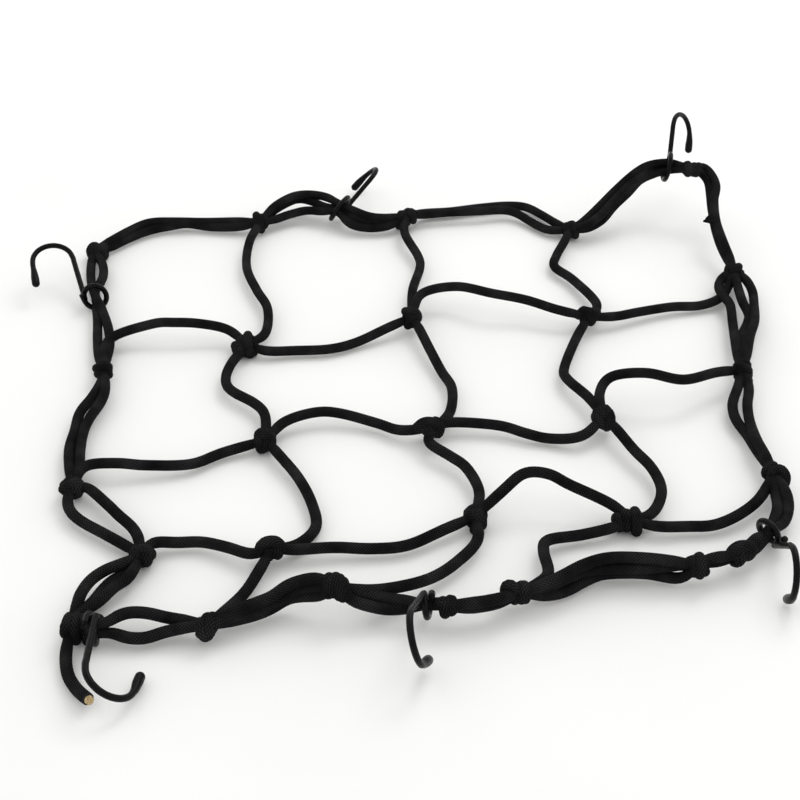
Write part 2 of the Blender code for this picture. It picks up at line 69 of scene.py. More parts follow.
# %% [markdown]
# ## Where everything lies
#
# These tables are the net's plan. A knot has its place, its height above the table (0 where it
# rests on it), the radius of its turns and half its length. The last column, the turn, says on
# which side the cord dives into the knot, which decides where its lumps show.

# %% The knots
KNOTS = (
    # name, x, y, height, radius, half length, direction in degrees, turn in degrees
    ("K11", -75, 50, 0, 6.5, 5.6, 80, 0),
    ("K12", 13, 63, 9, 6.3, 6.0, 60, 40),
    ("K13", 107, 55, 8, 6.2, 6.0, 10, 80),
    ("K21", -68, -35, 0, 6.5, 5.2, 35, 20),
    ("K22", 13, -36, 8, 6.3, 7.0, 15, 60),
    ("K23", 95, -38, 10, 6.2, 6.0, 60, 100),
    ("K31", -68, -117, 8, 6.3, 6.6, 10, -30),
    ("K32", 23, -102, 0, 6.5, 6.0, 70, 10),
    ("K33", 92, -112, 0, 6.5, 7.0, -10, 0),
    ("TL", -160, 159, 0, 6, 6, 50, 30),
    ("T1", -64, 181, 7, 5.8, 6, 30, -20),
    ("T2", 23, 178, 8, 5.7, 6.4, 0, 70),
    ("T3", 117, 155, 0, 6.2, 6, 20, 30),
    ("TR", 189, 166, 36, 5.2, 7.5, -30, 0),
    ("R1", 197, 92, 9, 5.7, 6.4, -75, 60),
    ("R2", 173, -6, 10, 5.8, 8.6, 80, -40),
    ("R3", 164, -88, 8, 6.2, 7, -75, 20),
    ("BR", 131, -143, 9, 5.2, 7, 40, 90),
    ("B3r", 111, -149, 10, 6, 6.6, 10, 0),
    ("B3", 34, -157, 9, 6, 7.4, 0, 45),
    ("Bh", 3, -164, 11, 5.4, 4.8, 5, 15),
    ("B2", -43, -153, 16, 6.8, 7.6, -20, -15),
    ("B1", -96, -162, 8, 6.4, 6.4, 0, 60),
    ("BL", -151, -157, 7, 5.6, 6.8, 75, 10),
    ("L3", -124, -113, 0, 6.4, 6.4, -30, 50),
    ("L2", -157, -62, 0, 6.4, 6.2, -40, 0),
    ("L1", -148, 32, 7, 5.6, 5.6, 80, 35),
)
print(len(KNOTS), "knots")

# %% [markdown]
# A strand's row names the knots that it joins and the places it passes between them: per cent of
# the way, millimetres to the left of the straight way, and millimetres of height. Written like
# this, a strand stays tied to its knots if one of them moves. The edge is written in the same
# way, with two or three cords side by side in each stretch.

# %% The strands of the mesh
STRANDS = (
    ("down_1a", "T1", "K11", ((18, -5, 7), (39, -5, 6), (58, 2, 6), (73, 9, 6), (92, 9, 6))),
    ("down_1b", "K11", "K21", ((20, -10, 6), (36, -14, 6), (48, -12, 6), (63, -2, 6), (76, 2, 6))),
    ("down_1c", "K21", "K31", ((18, 7, 6), (36, 14, 5), (59, 19, 5), (79, 20, 4), (94, 11, 5))),
    ("down_1d", "K31", "B1", ((24, 1, 6), (49, 2, 5), (76, 2, 7))),
    ("down_2a", "T2", "K12", ((18, -2, 8), (38, 5, 6), (50, 6, 6), (75, 1, 8))),
    ("down_2b", "K12", "K22", ((12, 3, 8), (29, 6, 7), (48, 10, 5), (65, 13, 6), (87, 9, 7))),
    ("down_2c", "K22", "K32", ((15, -6, 8), (33, 1, 7), (49, 6, 7), (75, 7, 6))),
    ("down_2d", "K32", "B2", ((13, 12, 6), (33, 16, 6), (50, 16, 6), (68, 14, 9), (87, 9, 13))),
    ("down_3a", "T3", "K13", ((15, -5, 6), (30, -11, 5), (42, -13, 5), (56, -4, 5), (85, 6, 7))),
    ("down_3b", "K13", "K23", ((20, -8, 6), (50, -16, 6), (62, -15, 7), (80, -6, 8))),
    ("down_3c", "K23", "K33", ((15, 5, 9), (34, 10, 8), (52, 16, 7), (75, 17, 7), (94, 10, 6))),
    ("down_3d", "K33", "B3", ((15, -3, 6), (32, -10, 5), (51, -17, 6), (62, -12, 7), (77, 0, 8))),
    ("across_1a", "L1", "K11", ((11, 26, 8), (42, 27, 12), (56, 23, 13), (73, 19, 12), (91, 13, 9))),
    ("across_1b", "K11", "K12", ((10, -7, 5), (27, -9, 4), (47, -12, 4), (64, -9, 4), (84, -4, 7))),
    ("across_1c", "K12", "K13", ((6, 19, 12), (26, 23, 14), (46, 12, 16), (65, 10, 13), (82, 3, 11))),
    ("across_1d", "K13", "R1", ((14, -5, 7), (29, -6, 6), (50, -9, 5), (66, -14, 4), (81, -14, 6))),
    ("across_2a", "L2", "K21", ((9, 12, 7), (24, 6, 9), (37, 2, 7), (59, -3, 5), (77, 1, 4))),
    ("across_2b", "K21", "K22", ((12, 13, 7), (31, 18, 8), (46, 17, 7), (67, 10, 5), (80, 2, 6))),
    ("across_2c", "K22", "K23", ((11, 5, 7), (38, 2, 6), (53, -4, 5), (67, -8, 4), (85, -11, 7))),
    ("across_2d", "K23", "R2", ((7, 13, 13), (18, 17, 18), (35, 8, 21), (53, -2, 18), (80, 0, 14))),
    ("across_3a", "L3", "K31", ((7, 8, 6), (26, 9, 5), (45, 9, 5), (65, 4, 6), (84, -2, 7))),
    ("across_3b", "K31", "K32", ((10, -2, 7), (29, -4, 6), (46, -8, 5), (63, -10, 5), (83, -5, 6))),
    ("across_3c", "K32", "K33", ((17, 6, 16), (31, 13, 21), (47, 14, 20), (59, 11, 17), (86, 8, 9))),
    ("across_3d", "K33", "R3", ((10, -8, 6), (28, -13, 5), (43, -17, 5), (62, -16, 6), (80, -11, 7))),
)
print(len(STRANDS), "strands")

# %% The cords of the edge
EDGE = (
    ("far_1_outer", "TL", "T1", (
        (10.5, 5.6, 7), (24, 14.8, 7), (37, 20.8, 7), (51.5, 17.2, 7), (69, 12.6, 6), (87.5, 5.2, 7),
    )),
    ("far_1_inner", "TL", "T1", (
        (10, 4, 4), (23, 11.4, 4), (36, 16.6, 4), (48.5, 17.6, 4), (59, 17.4, 4), (71, 9.4, 4),
        (86.5, 2.2, 5),
    )),
    ("far_2_upper", "T1", "T2", (
        (8, 6.6, 12), (16.5, 15, 13), (25.5, 21.2, 13), (36.5, 21.4, 13), (46, 16.2, 13.5),
        (54.5, 6.6, 14), (71.5, -3.6, 11), (85, -5.6, 10),
    )),
    ("far_2_middle", "T1", "T2", (
        (8, 10.4, 8), (17, 20, 8), (26.5, 26, 8), (36.5, 19.6, 9), (44.5, 11.6, 9.5), (56, 7.6, 9.8),
        (62, -1.8, 9), (74, -5.6, 8), (86.5, -5, 8),
    )),
    ("far_2_lower", "T1", "T2", (
        (9, 2.2, 7), (20, 8.4, 7), (31.5, 10.8, 8), (42, 6.2, 9.5), (52.5, 4.2, 9.8), (61, -6.2, 7),
        (73, -8, 5), (86.5, -8, 6),
    )),
    ("far_3_outer", "T2", "T3", (
        (9.5, 11.4, 4.5), (24.5, 16.2, 4), (41.5, 23, 4), (58, 28.2, 4), (70.5, 28.2, 4), (81, 19.8, 4),
        (91, 8, 5),
    )),
    ("far_3_inner", "T2", "T3", (
        (10.5, 4.8, 7), (25.5, 9.4, 7), (43.5, 13.4, 7), (58.5, 18.6, 6), (67, 16.6, 5), (75, 10.2, 4),
        (84.5, 2, 4), (92.5, -0.6, 5),
    )),
    ("far_4_upper", "T3", "TR", (
        (11, -0.8, 11), (26, 4.6, 16), (42.5, 9.8, 23), (58.5, 13.2, 30), (71.5, 14.4, 34),
        (86.5, 10.6, 36.6),
    )),
    ("far_4_middle", "T3", "TR", (
        (9.5, -7.8, 12), (22.5, -4, 15), (35.5, 1, 20), (53.5, 8.6, 26), (71.5, 13.8, 31),
        (87.5, 11.8, 32.4),
    )),
    ("far_4_lower", "T3", "TR", (
        (11.5, -3.4, 7), (26, -1.4, 10), (35.5, -0.8, 18), (50, 4.2, 23), (66, 12, 27), (84.5, 8, 32.4),
    )),
    ("right_1_outer", "TR", "R1", (
        (-6.5, 9.6, 34), (4, 12.4, 32), (16, 12, 29), (29.5, 7, 26), (50.5, 2.6, 21), (70, 1.6, 16),
        (86.5, 1.2, 12),
    )),
    ("right_1_inner", "TR", "R1", (
        (-2, 7.4, 32), (5, 10, 29), (17.5, 8, 26), (32, 5.2, 22), (54.5, 1.6, 17), (72.5, 0.8, 12),
    )),
    ("right_2_loop", "R1", "R2", (
        (5.5, -5.6, 9), (15.5, -9, 8), (25.5, -6.8, 8), (34, -3.4, 8), (51.5, -2.8, 8), (71, -2.4, 9),
        (88.5, -1.8, 10),
    )),
    ("right_2_middle", "R1", "R2", (
        (18.5, 1.2, 10), (35, 3.2, 10), (43, 6.2, 8), (52, 4.8, 7), (64, 1, 6), (82.5, -0.8, 8),
    )),
    ("right_2_outer", "R1", "R2", (
        (7, 5.6, 9), (18, 9.2, 8), (33.5, 9.4, 8), (55.5, 8, 12), (72.5, 4.6, 13), (88, 2.4, 12),
    )),
    ("right_3_outer", "R2", "R3", (
        (17.5, 0.6, 9), (33.5, -2.4, 8), (51, -3.8, 8), (72, -4, 10), (85, -2.4, 10),
    )),
    ("right_3_inner", "R2", "R3", (
        (16.5, -4.6, 9), (31, -9.2, 7), (45.5, -9.4, 6), (60, -5.6, 5), (75.5, -3.2, 5),
    )),
    ("right_4_outer", "R3", "BR", (
        (21, 8, 10), (33.5, 11.6, 9), (48, 12.4, 7), (67.5, 9.6, 9.8), (89, 4.4, 7),
    )),
    ("right_4_inner", "R3", "BR", (
        (20, 3.6, 8), (35.5, 7.2, 8), (53, 8.2, 9), (66.5, 6.8, 6.9), (80.5, 4.8, 10.5),
        (90.5, 2.4, 10),
    )),
    ("near_1_upper", "BR", "B3r", ((43, 1.4, 12), (73, 0.2, 12))),
    ("near_1_lower", "BR", "B3r", ((36, -0.2, 8), (65.5, -1.4, 8))),
    ("near_2_upper", "B3", "B3r", (
        (13.5, -1, 13), (25, 2.6, 13), (38, 6.6, 13.5), (53, 8, 14), (72, 4.6, 14), (87.5, 1, 13),
    )),
    ("near_2_middle", "B3", "B3r", (
        (14, 1.2, 9), (26.5, 4.2, 9), (40.5, 7.6, 9), (56, 6.2, 9), (72, 3.8, 9), (89, 2.8, 9),
    )),
    ("near_2_lower", "B3", "B3r", (
        (14, 0.4, 5), (26, 2, 4), (39.5, 6.6, 4), (52, 9.2, 4), (73.5, 6, 4), (87.5, 0.6, 4),
        (93.5, -1.4, 6),
    )),
    ("near_3_upper", "Bh", "B3", ((14.5, -2.6, 13), (37.5, -4, 13), (64.5, -4.6, 13))),
    ("near_3_lower", "Bh", "B3", ((18, 0, 8), (41, -1.6, 8), (68.5, -1.8, 8))),
    ("near_4_upper", "B2", "Bh", (
        (14.5, 1, 14), (28.5, 1.6, 12), (46, 1.4, 10.5), (66, 0.2, 11.5), (81.5, -1.6, 11.5),
    )),
    ("near_4_lower", "B2", "Bh", (
        (15.5, -2.8, 12), (29.5, -3.2, 10), (46.5, -2.2, 8), (66, -0.6, 8.4), (81.5, 1.6, 9.3),
    )),
    ("near_5_upper", "B1", "B2", (
        (18.5, 1.2, 11), (38, 3.2, 12), (52, 4.2, 13), (65.5, 7, 15), (79.5, 6.4, 17), (91, 4.2, 18),
    )),
    ("near_5_middle", "B1", "B2", (
        (18.5, 2, 8), (38, 3, 8), (53, 4.4, 9), (68, 6.8, 11), (80.5, 5.8, 13), (90.5, 3.6, 14),
    )),
    ("near_5_lower", "B1", "B2", (
        (18.5, 3, 5), (37.5, 3.8, 5), (51, 5.8, 5), (66, 7.8, 7), (78, 5.2, 9), (90, 2.8, 10),
    )),
    ("near_6_upper", "BL", "B1", (
        (17.5, -2, 11), (27, -1.2, 11), (33, 3.4, 10), (41.5, 7, 9), (54.5, 7.6, 8), (69.5, 4.8, 8),
        (85.5, 3.6, 7),
    )),
    ("near_6_lower", "BL", "B1", (
        (17.5, -2.4, 6.6), (30.5, -1.8, 6), (41.5, -3.6, 5), (55, -4, 5), (68, -1.8, 6),
        (83.5, -1.4, 8),
    )),
    ("left_4_outer", "L3", "BL", ((18.5, -2.6, 8), (32, -7, 8), (47.5, -9, 8), (64, -8, 8), (79, -4.4, 9))),
    ("left_4_inner", "L3", "BL", (
        (21, -1, 4), (33.5, -4, 3.5), (48.5, -4.2, 3.5), (63.5, -3.2, 4), (79, -3.4, 5),
    )),
    ("left_4_third", "L3", "BL", ((31, 3.6, 7), (43.5, 1.6, 7), (59, 2, 8), (73, 1.8, 9), (86, 0, 9.5))),
    ("left_3_outer", "L2", "L3", (
        (10, -6, 6), (22, -8.8, 5), (38.5, -8.4, 5), (61.5, -4.8, 5), (81.5, -1.8, 5),
    )),
    ("left_3_inner", "L2", "L3", ((7, 5, 6), (32, 6, 6), (49, 6, 6), (75, 6, 6))),
    ("left_2_outer", "L1", "L2", (
        (10.5, 0.2, 6), (24.5, -2.4, 6), (38, -6.2, 6), (53, -6.2, 6), (68.5, -6.4, 6), (83, -4.2, 6),
    )),
    ("left_2_inner", "L1", "L2", (
        (17, 3.4, 7), (29.5, 3, 7), (43, -0.2, 7), (54, -2, 6), (70, -1.2, 6), (85, 0.6, 6),
    )),
    ("left_1_outer", "TL", "L1", (
        (11, -2.2, 5), (25, -3, 5), (43, -1.4, 5.8), (59.5, -1, 6), (76, -1.8, 6), (87.5, -1.8, 6),
    )),
    ("left_1_inner", "TL", "L1", (
        (13, 4, 6), (24.5, 3.8, 6), (43, -0.8, 9.8), (52.5, 1.4, 8), (69, 4.2, 8), (81, 4.4, 7),
        (90, 2.2, 6),
    )),
)
print(len(EDGE), "cords in the edge")

# %% [markdown]
# The free end leaves its knot and runs through places of its own. A hook's row gives the middle
# of its eye and the way in which the cords pass through it. Then come degrees: the compass
# direction of the shank, how far it points up, and how far the bend is turned about the shank.
# Then the leg after the bend in millimetres, the degrees by which it leans open, the side of the
# cords on which the shank starts, and the eye's two radii, along the shank and across it.

# %% The free end and the hooks
TAIL_KNOT = "BL"
TAIL = (
    (-152, -163, 5.6), (-152.5, -171, 4), (-151, -180, 3.4), (-147, -188.5, 3.8),
    (-142, -196, 5.6),
)

HOOKS = (
    # name, eye x y z, cords x y z, azimuth, elevation, turn, leg, lean, side, eye radii
    ("hook_top_left", (-156, 104, 7.8), (0.12, -0.99, 0.03), 105, 23, -1, 16, 5, 1, (6.4, 5.9)),
    ("hook_top_middle", (-16.5, 185.5, 11.2), (0.8, -0.4, -0.45), 42, 27, -38, 6, 11, -1, (8, 7.9)),
    ("hook_top_right", (177.5, 174.5, 33.8), (0.98, -0.16, -0.09), 73, 42, -119, 9, 2, -1, (7.6, 7.4)),
    ("hook_bottom_right", (149, -129, 8.3), (-0.84, -0.49, -0.22), -97, 40, -91, 7, 4, -1, (6.9, 5.8)),
    ("hook_bottom_middle", (-5.5, -162, 10.4), (0.98, -0.15, 0.02), -108, 29, -71, 12, 5, -1, (6.4, 4.8)),
    ("hook_bottom_left", (-141.5, -160, 8.8), (0.99, -0.1, 0.03), -94, 4, -35, 11, 9, -1, (4.9, 6.7)),
)
print(len(HOOKS), "hooks")

# %% [markdown]
# ## How the knots are tied
#
# Each knot is an overhand knot pulled tight, and no two look alike, so each has its own laps: the
# places where a turn of the cord shows. A lap is written as it looks from the front, in
# millimetres to the right of the knot's middle and up from it. It goes along its places on the
# near side and comes back along them on the far side. Depth is half the way between the two sides,
# and near moves the whole lap towards the eye, which decides which lap lies on top.

# %% The laps
VIEW_DOWN = 35.0           # the front view looks down by this many degrees,
VIEW_TURN = -6.0           # turned by this many about the vertical
LAPS = (
    # knot, depth, near, places: right and up
    ("K11", 4.2, 1, ((0.6, 4.9), (1.6, -5.2))),
    ("K11", 3.6, 0, ((-6, -0.5), (-0.5, -1.8))),
    ("K11", 4, 0, ((-1.5, -3.9), (3.7, -3.7))),
    ("K11", 3.6, -0.5, ((-3.6, 1.8), (3.2, 0.8))),
    ("K11", 3.4, 0.4, ((-6, -0.5), (-4.4, -5.2))),
    ("K12", 3.8, 0.8, ((-3.5, 3), (2.2, 2.2))),
    ("K12", 4, 0, ((-2.1, -4.4), (-0.2, 3.8))),
    ("K12", 3.8, 0.4, ((2.6, 0.6), (-1.6, -3.1))),
    ("K13", 4, 0.8, ((-4.1, 2.3), (-2.2, 3.4), (0.7, -2.5))),
    ("K13", 4, 0.2, ((4.2, 2.6), (0.7, -2.7))),
    ("K13", 3.2, -0.3, ((-5.7, 1), (1.8, -0.1))),
    ("K21", 4, 0.2, ((-3.2, 2.9), (-3, 0.1), (-2.3, -4.2))),
    ("K21", 3.8, 0, ((2.7, 1.5), (-1.3, -4.2))),
    ("K21", 4, 1, ((-2.3, 3.6), (2.5, 1.5))),
    ("K22", 3.6, 1.2, ((-8.8, 0), (-5.4, 2.6), (-1.3, 2.7), (2.5, 0.2), (1.5, -2.9))),
    ("K22", 3.8, 0, ((-4.2, -1.7), (0.8, -2.9))),
    ("K22", 3.4, 0.4, ((-6.1, -0.2), (-2.3, -1.7))),
    ("K23", 3.8, 0.6, ((-4.1, 0.1), (-2.9, -2.3), (0, -4.5))),
    ("K23", 4, 0.9, ((1.9, 1.8), (2.7, -1.4), (1.2, -5.2))),
    ("K23", 3.8, 0, ((-3.4, 1.8), (1.4, -0.9))),
    ("K31", 3.8, 1, ((-4.9, -1.4), (-4.5, 1.6), (-2.1, 3), (1.8, 3), (4.4, 0.7))),
    ("K31", 3.6, 0.3, ((2.2, 1.6), (2.5, -2.3))),
    ("K31", 3.8, -0.3, ((-2.9, 1.2), (0.1, -1))),
    ("K32", 4, 0.4, ((-3, 1.6), (2.8, -2.3))),
    ("K32", 4, 0.8, ((-0.3, -5.9), (1.7, 2.4))),
    ("K32", 3.6, 0, ((2.8, 0.1), (2.9, -3.9))),
    ("K33", 4.2, 1, ((1, 4.1), (1.7, -5))),
    ("K33", 3.8, 0.2, ((-7, 1.2), (-5.8, -3.2))),
    ("K33", 3.8, -0.2, ((-3.2, 2.8), (-2.3, -3))),
    ("TL", 3.6, 0.8, ((1.9, 1.7), (3.3, -3.4))),
    ("TL", 3.6, 0.5, ((-1.9, -0.3), (1, -2.9))),
    ("TL", 3.6, 0, ((5.6, 2.3), (5.6, -3.2))),
    ("T1", 3.8, 0.8, ((-2.3, 4), (0.7, -4.5))),
    ("T1", 3.6, 0, ((-3.8, 0.1), (0.4, 2.5))),
    ("T2", 3.8, 0.8, ((-3.7, 0.9), (-4.9, -6.1))),
    ("T2", 3.8, 0.8, ((2.3, 2.2), (3.5, -2.8))),
    ("T2", 3.4, 0, ((-1.3, -0.7), (-0.1, -4))),
    ("T3", 3.6, 0.8, ((1, 3.1), (2.8, -3.4))),
    ("T3", 3.6, 0.3, ((-2.2, 2.2), (-1.4, -3.4))),
    ("TR", 3.4, 0.8, ((-2.2, 2.4), (-1.7, -2.6))),
    ("TR", 3.4, 0.3, ((4.2, 1.6), (3, -2.6))),
    ("R1", 3.8, 0.8, ((2.2, 2.5), (-1.7, -0.5))),
    ("R1", 3.6, 0, ((-2.8, 2.3), (1.1, -3))),
    ("R1", 3.4, 0, ((-2.2, -3.6), (2.8, -1.9))),
    ("R2", 3.4, 0.9, ((-2.8, 2), (2.5, -0.5))),
    ("R2", 3.6, 0.3, ((-2.3, -3), (2.7, -5.6))),
    ("R2", 3.2, 0, ((-2.3, -0.5), (2.7, -2.8))),
    ("R3", 3.8, 0.9, ((-1.4, 0.9), (1.6, 2.3), (4.1, -0.7), (4.3, -4.9))),
    ("R3", 3.8, 0, ((-1.4, -0.3), (2.7, -4.4))),
    ("BR", 3.4, 0.9, ((-3.2, 1.1), (0.7, 3.5), (5, 3.9))),
    ("BR", 3.6, 0, ((-0.2, -3), (1.5, 2))),
    ("BR", 3.2, 0, ((3.7, -0.6), (5.8, 2.8))),
    ("B3r", 3.8, 1, ((0.9, 3.6), (0.9, -3.7))),
    ("B3r", 3.4, 0, ((-2.5, 1), (3.3, -2.6))),
    ("B3", 3.6, 0.8, ((-6.5, 0.9), (-5.5, 2.8), (-2.8, 2.3), (-2.2, -0.6))),
    ("B3", 4, 0.6, ((1.4, 2.9), (0.1, -2.7))),
    ("B3", 3.4, -0.3, ((-4.4, 0.2), (-0.3, -0.6))),
    ("Bh", 3.2, 0.5, ((-2.5, 1.8), (-1.7, -3))),
    ("Bh", 3, 0, ((-5.4, 1.1), (0, 0.1), (-0.4, -2.2))),
    ("B2", 4, 0.8, ((0.4, 3.9), (3.3, -4.3))),
    ("B2", 3.8, 0.2, ((-2, 3.1), (0, -2.7))),
    ("B2", 3.4, 0, ((3.3, 1.9), (5, -3.5))),
    ("B1", 3.8, 0.7, ((-2.8, 0.3), (-0.4, -4.4))),
    ("B1", 3.8, 0.4, ((2.3, 3.4), (0.5, -4))),
    ("B1", 3.4, 0, ((4.1, 2.1), (1.7, -1.9))),
    ("BL", 3.4, 0.8, ((-0.4, 4.6), (-1.9, -1.9))),
    ("BL", 3.6, 0, ((2.2, 4.6), (2, -4.7))),
    ("BL", 3.4, 0.4, ((8.5, 4.4), (8.9, -3.1))),
    ("BL", 3.2, 0.5, ((5.7, 4.2), (11.4, 3.4))),
    ("BL", 3.2, 0, ((6.9, -4.7), (10.1, -2.3))),
    ("L3", 3.6, 0.8, ((2.8, 2.3), (2.2, -2.9))),
    ("L3", 3.6, 0.2, ((-0.4, 2.7), (-1.2, -3.4))),
    ("L2", 3.8, 0.6, ((-4, -0.8), (1.1, 2))),
    ("L2", 3.6, 0.3, ((-3.5, 1.1), (-2.1, -1.2), (1.5, -2.4))),
    ("L2", 3.4, 0, ((2.9, 1.5), (2, -2.8))),
    ("L1", 3.4, 0.6, ((-3.2, 0.9), (2.6, 1.6))),
    ("L1", 3.4, 0.4, ((-2.4, -1.9), (2.7, -2.2))),
)
print(len(LAPS), "laps on", len({lap[0] for lap in LAPS}), "knots")

# %% [markdown]
# ## Helpers for everything that is round and long
#
# A cord is a circle carried along a line. Blender's curves can do that with a bevel, but here the
# cord also has to thin in the knots, lie flat where it touches the table, and carry a map along
# and around itself on which a braid can be drawn. So the line is made smooth, read at even steps,
# and the circle is carried along it ring by ring. The ring is turned as little as possible from
# step to step, or the braid would twist.

# %% Smooth lines
CURVE_PARTS = 12           # parts in which a smooth line runs from one place to the next


def smooth_line(places):
    """A smooth curve through all the places."""
    places = [Vector(p) for p in places]
    guides = [2 * places[0] - places[1], *places, 2 * places[-1] - places[-2]]
    line = []
    for a, b, c, d in zip(guides, guides[1:], guides[2:], guides[3:]):
        for step in range(CURVE_PARTS):
            t = step / CURVE_PARTS
            line.append((2 * b + (c - a) * t + (2 * a - 5 * b + 4 * c - d) * t**2
                         + (3 * b - a - 3 * c + d) * t**3) / 2)
    return np.array([p[:] for p in [*line, places[-1]]])


def even_steps(line, step):
    """The same line read at even steps, and how far along it each point lies."""
    along = np.concatenate([[0], np.cumsum(np.linalg.norm(np.diff(line, axis=0), axis=1))])
    wanted = np.linspace(0, along[-1], max(3, round(along[-1] / step) + 1))
    return np.stack([np.interp(wanted, along, line[:, i]) for i in range(3)], axis=1), wanted


def soften(line, times):
    """Evens out a line's small kinks, keeping its ends."""
    line = line.copy()
    for _ in range(times):
        line[1:-1] = (line[:-2] + 2 * line[1:-1] + line[2:]) / 4
    return line


tail_along = even_steps(smooth_line(TAIL), step=1)[1]
print("free end:", round(tail_along[-1]), "mm beyond its knot")

# %% A round bar along a line
TABLE_TOP = 0.0            # nothing lies below this height


def bar(line, along, radii, sides):
    """Corners, faces and map of a round bar; no corner lies below the table."""
    ways = np.gradient(line, axis=0)
    ways /= np.linalg.norm(ways, axis=1)[:, None]
    side = Vector(ways[0]).orthogonal().normalized()
    angles = np.arange(sides) * 2 * pi / sides
    corners = []
    for place, way, radius in zip(line, ways, radii):
        way = Vector(way)
        side = (side - way * side.dot(way)).normalized()
        other = way.cross(side)
        ring = np.outer(np.cos(angles), side) + np.outer(np.sin(angles), other)
        corners.append(place + radius * ring)
    corners = np.concatenate([*corners, line[:1], line[-1:]])
    corners[:, 2] = np.maximum(corners[:, 2], TABLE_TOP)
    faces, spots = [], []
    for i in range(len(line) - 1):
        for j in range(sides):
            k = (j + 1) % sides
            faces.append((i * sides + j, i * sides + k, (i + 1) * sides + k, (i + 1) * sides + j))
            a, b = j / sides, (j + 1) / sides
            spots += [(along[i], a), (along[i], b), (along[i + 1], b), (along[i + 1], a)]
    last = (len(line) - 1) * sides
    for j in range(sides):
        k = (j + 1) % sides
        faces.append((k, j, last + sides))
        faces.append((last + j, last + k, last + sides + 1))
        spots += [(along[0], 0.5)] * 3 + [(along[-1], 0.5)] * 3
    return corners, faces, spots


print("new helper: bar")

# %% One object from several bars
CHART = "along_and_around"   # the map: millimetres along a bar, share of the way round it


def make_piece(name, bars, material):
    """Joins bars into one object of the net, in the frame's own place."""
    corners, faces, spots, start = [], [], [], 0
    for points, sides, places in bars:
        corners.append(points - np.array(MIDDLE))
        faces += [tuple(start + i for i in face) for face in sides]
        spots += places
        start += len(points)
    mesh = bpy.data.meshes.new(name)
    mesh.from_pydata(np.concatenate(corners) * MM, [], faces)
    chart = mesh.uv_layers.new(name=CHART)
    chart.data.foreach_set("uv", np.array(spots, np.float32).ravel())
    mesh.shade_smooth()
    mesh.materials.append(material)
    piece = bpy.data.objects.new(name, mesh)
    bpy.context.scene.collection.objects.link(piece)
    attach(piece, "root")
    print(name, len(mesh.polygons), "faces")
    return piece


print("every piece carries the map", CHART)

# %% [markdown]
# ## The braid
#
# The sheath is braided from two sets of yarns that wind round the core in opposite directions and
# pass over and under each other, which leaves a diamond of small humps. Modelled yarn by yarn it
# would take millions of faces, so it is worked out from the map that the bars carry: millimetres
# along the cord and the share of the way round it. Adding and subtracting the two gives a count
# of yarns in each direction. Its whole part says which yarn it is, and its fraction how far across
# the yarn the point lies. From that come a height for the bump and a slight change of colour: a
# painted sheen makes the tops a little grey and painted shade keeps the grooves black, while a
# noise adds random patches of wear.

# %% Nodes by arithmetic
def calculator(tree):
    """A function that adds a sum to a material's nodes and gives back its result."""
    def calc(kind, *inputs):
        node = tree.nodes.new("ShaderNodeMath")
        node.operation = kind
        for socket, value in zip(node.inputs, inputs):
            if isinstance(value, (int, float)):
                socket.default_value = value
            else:
                tree.links.new(value, socket)
        return node.outputs[0]
    return calc


def new_material(name, colour, roughness, **settings):
    """A material with a name, a colour and a roughness, and the shader's other settings."""
    material = bpy.data.materials.new(name)
    material.use_nodes = True
    shader = material.node_tree.nodes["Principled BSDF"]
    shader.inputs["Base Color"].default_value = (*colour, 1)
    shader.inputs["Roughness"].default_value = roughness
    for socket, value in settings.items():
        shader.inputs[socket.replace("_", " ")].default_value = value
    return material, material.node_tree, shader


print("new helpers: calculator, new_material")

# %% Ramps, noise and bumps
def ramp_to_socket(tree, shader, socket, factor, stops):
    """Feeds a socket from a ramp of colours; a stop is a place from 0 to 1 and a colour."""
    ramp = tree.nodes.new("ShaderNodeValToRGB")
    while len(ramp.color_ramp.elements) < len(stops):
        ramp.color_ramp.elements.new(0.5)
    for element, (place, colour) in zip(ramp.color_ramp.elements, stops):
        element.position = place
        element.color = (*colour, 1)
    tree.links.new(factor, ramp.inputs["Fac"])
    tree.links.new(ramp.outputs["Color"], shader.inputs[socket])


def noise(tree, cells, detail):
    """Noise in the object's own space, with this number of cells in a metre."""
    place = tree.nodes.new("ShaderNodeTexCoord")
    node = tree.nodes.new("ShaderNodeTexNoise")
    node.inputs["Scale"].default_value = cells
    node.inputs["Detail"].default_value = detail
    tree.links.new(place.outputs["Object"], node.inputs["Vector"])
    return node.outputs["Fac"]


def add_bump(tree, shader, height, distance, strength=1.0):
    """Lets a height show as relief; distance is the metres that a height of 1 stands out."""
    bump = tree.nodes.new("ShaderNodeBump")
    bump.inputs["Distance"].default_value = distance
    bump.inputs["Strength"].default_value = strength
    tree.links.new(height, bump.inputs["Height"])
    tree.links.new(bump.outputs["Normal"], shader.inputs["Normal"])


print("new helpers: ramp_to_socket, noise, add_bump")

# %% The yarns and their tones
YARNS_ROUND = 11           # yarns in each direction
YARN_ALONG = 1.45          # millimetres of cord from one yarn to the next
THREADS_IN_YARN = 4
YARN_BACK = 0.6            # below 1, a yarn's back is fuller than a sine wave
CROWN_SHARE = 0.45         # how much the middle of each crossing stands out,
THREAD_SHARE = 0.07        # and the single threads,
FLUFF_SHARE = 0.5          # and the fluff
FLUFF_CELLS, FLUFF_DETAIL = 2600, 4
WEAR_CELLS, WEAR_DETAIL = 90, 3
BRAID_RELIEF = 0.00028
# the height's share of the tone paints a sheen on the tops and shade in the grooves; the wear's share is
# random patches
SHEEN_AND_SHADE_OF_HEIGHT, TONE_OF_WEAR = 0.32, 0.5
SHEATH_SHADE_SHEEN_AND_WEAR = (
    # place on the ramp, colour: from painted shade in the grooves to a painted sheen on the tops
    (0.34, (0.0004, 0.0004, 0.0005)),
    (0.52, (0.0032, 0.0032, 0.0036)),
    (0.70, (0.0125, 0.0120, 0.0130)),
    (0.90, (0.036, 0.034, 0.035)),
)
print("yarns in each direction:", YARNS_ROUND, "- a yarn every", YARN_ALONG, "mm")

